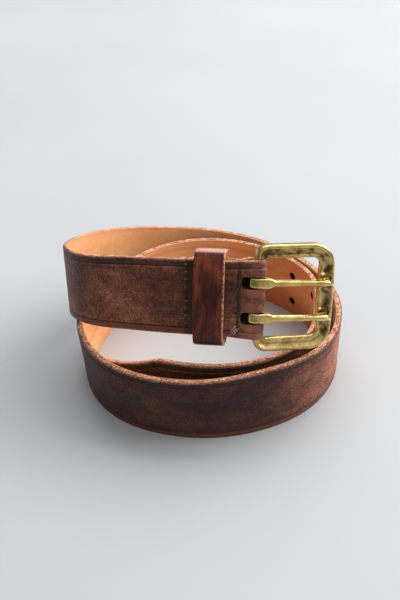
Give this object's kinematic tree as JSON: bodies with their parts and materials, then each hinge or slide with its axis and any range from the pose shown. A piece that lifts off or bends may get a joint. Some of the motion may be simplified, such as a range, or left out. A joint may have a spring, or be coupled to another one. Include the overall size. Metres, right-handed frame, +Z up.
{
  "type": "leather belt",
  "caption": "Coiled leather belt standing on edge, with a double-prong brass heel-bar buckle, a leather keeper and punched adjusting holes.",
  "frame": {"origin": "on the floor, under the middle of the coil's overall box", "axes": "+Z is up, along the width of the strap as it stands on its edge. -Y is the side the buckle crosses, and +X is the side the buckle points to."},
  "size_m": [0.1616, 0.1632, 0.1009],
  "materials": {
    "strap_leather": "waxed",
    "keeper_leather": "waxed",
    "brass": "polished",
    "thread": "waxed"
  },
  "bodies": {
    "strap": {"strap": "strap_leather", "stitch_row_buckle": "thread", "stitch_row_tail": "thread"},
    "buckle": {"buckle_frame": "brass"},
    "upper_prong": {"prong_upper": "brass"},
    "lower_prong": {"prong_lower": "brass"},
    "keeper": {"keeper": "keeper_leather"}
  },
  "joints": [
    {"name": "frame_swing", "type": "hinge", "parent": "strap", "child": "buckle", "pos_m": [0.02668, -0.05263, 0.07324], "axis": [-0.03, -0.2848, -0.9581], "range_deg": [0, 35]},
    {"name": "upper_prong_swing", "type": "hinge", "parent": "buckle", "child": "upper_prong", "pos_m": [0.02668, -0.05263, 0.07324], "axis": [-0.03, -0.2848, -0.9581], "range_deg": [0, 40]},
    {"name": "lower_prong_swing", "type": "hinge", "parent": "buckle", "child": "lower_prong", "pos_m": [0.02668, -0.05263, 0.07324], "axis": [-0.03, -0.2848, -0.9581], "range_deg": [0, 40]},
    {"name": "keeper_slide", "type": "slide", "parent": "strap", "child": "keeper", "axis": [-0.9909, 0.132, -0.028], "range_m": [-0.002, 0.0015]}
  ]
}
